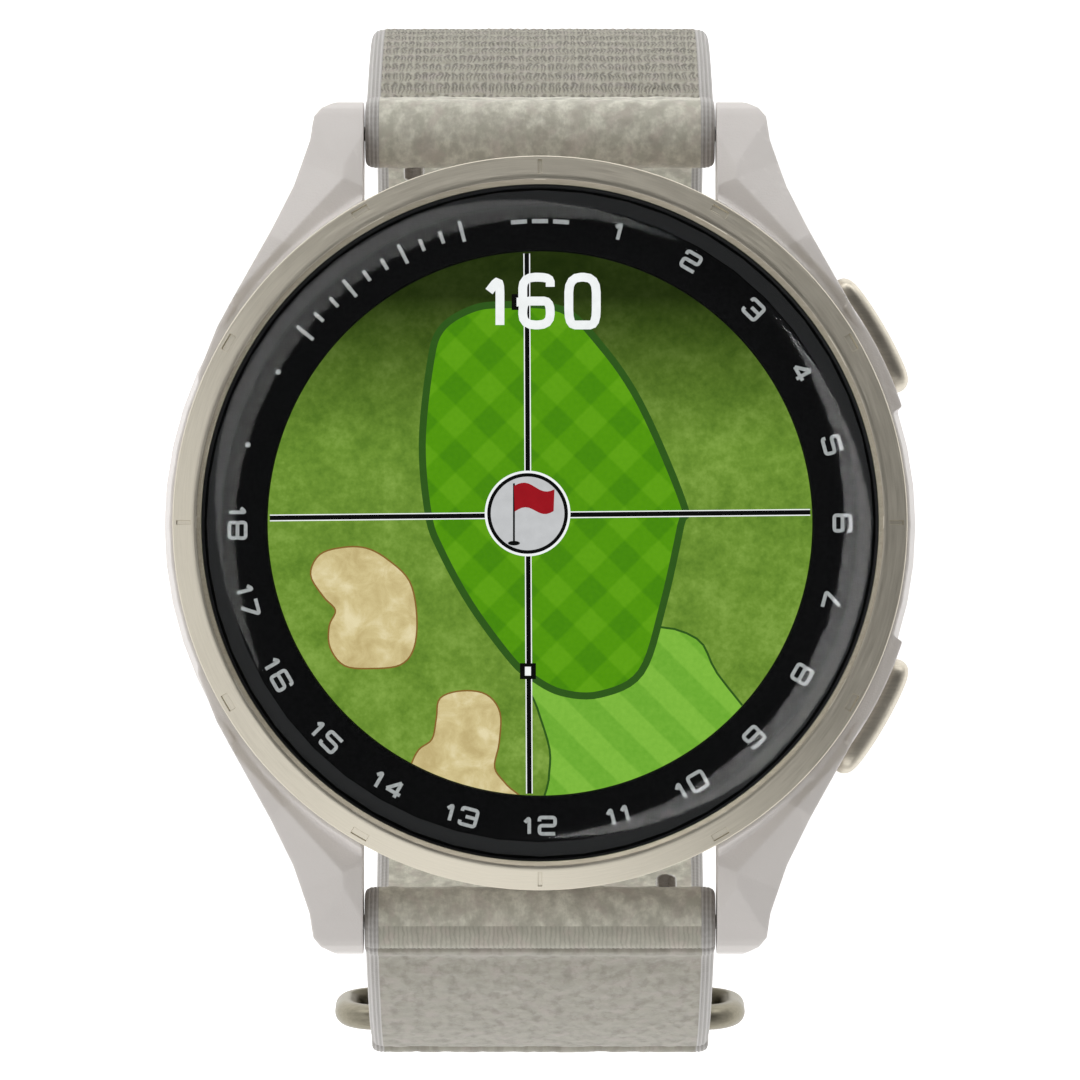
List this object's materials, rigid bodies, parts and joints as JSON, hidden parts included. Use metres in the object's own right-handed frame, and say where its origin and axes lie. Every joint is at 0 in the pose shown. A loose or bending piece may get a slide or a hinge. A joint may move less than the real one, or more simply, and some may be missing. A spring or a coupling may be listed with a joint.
{
  "type": "golf gps watch",
  "caption": "Round golf watch with a colour display, numbered ring, metal bezel, faceted lugs, two push buttons and a fabric strap closed through a wire loop.",
  "frame": {"origin": "centre of the sensor window's flat outer face, which lies against the wrist", "axes": "+Z out of the display, +Y towards 12 o'clock, +X towards 3 o'clock, where the buttons are"},
  "size_m": [0.0426, 0.0606, 0.0546],
  "materials": {
    "ivory_polymer": "satin, very slightly pearly",
    "champagne_metal": "champagne tint, brushed along its length",
    "cover_glass": "polished, edge curved",
    "black_print": "black print under glass",
    "display": null,
    "black_rubber": "matt",
    "grey_plastic": "fine texture",
    "green_board": "glass fibre board",
    "foil": "foil pouch",
    "steel": "bright",
    "gold_contact": "gold plated",
    "sensor_glass": "dark, polished",
    "strap_fabric": "knitted nylon, soft",
    "hook_fabric": "hook tape",
    "tab_polymer": "matt"
  },
  "bodies": {
    "case": {"case_body": "ivory_polymer", "bezel": "champagne_metal", "cover_lens": "cover_glass", "lens_gasket": "black_rubber", "dial_ring": "black_print", "display_panel": "display", "display_frame": "grey_plastic", "gps_antenna": "gold_contact", "main_board": "green_board", "battery": "foil", "vibration_motor": "steel", "sensor_board": "green_board", "sensor_window": "sensor_glass", "back_cover": "grey_plastic", "charging_port": "black_rubber", "back_cover_seal": "black_rubber", "back_screw_1": "steel", "back_screw_2": "steel", "back_screw_3": "steel", "back_screw_4": "steel", "upper_button_spring": "steel", "lower_button_spring": "steel", "upper_button_seal": "black_rubber", "lower_button_seal": "black_rubber", "upper_switch": "black_rubber", "lower_switch": "black_rubber", "upper_bar_tube": "steel", "lower_bar_tube": "steel", "upper_bar_fixed_tip": "steel", "lower_bar_fixed_tip": "steel", "upper_bar_spring": "steel", "lower_bar_spring": "steel"},
    "upper_button": {"upper_button": "champagne_metal", "upper_button_clip": "steel"},
    "lower_button": {"lower_button": "champagne_metal", "lower_button_clip": "steel"},
    "upper_lever": {"upper_bar_lever": "steel"},
    "lower_lever": {"lower_bar_lever": "steel"},
    "short_strap": {"short_strap": "strap_fabric", "strap_ring": "champagne_metal"},
    "long_strap_front": {"long_strap_front": "strap_fabric"},
    "long_strap_back": {"long_strap_back": "strap_fabric"},
    "tail": {"tail": "strap_fabric", "hook_pad": "hook_fabric", "pull_tab": "tab_polymer"}
  },
  "joints": [
    {"name": "upper_button_press", "type": "slide", "parent": "case", "child": "upper_button", "axis": [-0.866, -0.5, 0], "range_m": [0, 0.0005], "stiffness_N_per_m": 2000, "springref_m": -0.0005, "deforming": ["upper_button_spring"]},
    {"name": "lower_button_press", "type": "slide", "parent": "case", "child": "lower_button", "axis": [-0.866, 0.5, 0], "range_m": [0, 0.0005], "stiffness_N_per_m": 2000, "springref_m": -0.0005, "deforming": ["lower_button_spring"]},
    {"name": "upper_lever_slide", "type": "slide", "parent": "case", "child": "upper_lever", "axis": [1, 0, 0], "range_m": [0, 0.0013], "stiffness_N_per_m": 1000, "springref_m": -0.001, "deforming": ["upper_bar_spring"]},
    {"name": "lower_lever_slide", "type": "slide", "parent": "case", "child": "lower_lever", "axis": [-1, 0, 0], "range_m": [0, 0.0013], "stiffness_N_per_m": 1000, "springref_m": -0.001, "deforming": ["lower_bar_spring"]},
    {"name": "strap_sway", "type": "hinge", "parent": "case", "child": "short_strap", "pos_m": [0, -0.0225, 0.0028], "axis": [1, 0, 0], "range_deg": [-10, 10]},
    {"name": "long_strap_swing", "type": "hinge", "parent": "case", "child": "long_strap_front", "pos_m": [0, 0.0225, 0.0028], "axis": [1, 0, 0], "range_deg": [-6.5, 6.5]},
    {"name": "long_strap_bend", "type": "hinge", "parent": "long_strap_front", "child": "long_strap_back", "pos_m": [0, 0.016, -0.04155], "axis": [1, 0, 0], "range_deg": [-6.5, 6.5]},
    {"name": "tail_peel", "type": "hinge", "parent": "long_strap_back", "child": "tail", "pos_m": [0, -0.0273, -0.0249], "axis": [-1, 0, 0], "range_deg": [0, 55]}
  ],
  "couplings": [
    {"joint": "long_strap_swing", "follows": "strap_sway", "ratio": 0.6307},
    {"joint": "long_strap_bend", "follows": "strap_sway", "ratio": -0.6145}
  ]
}
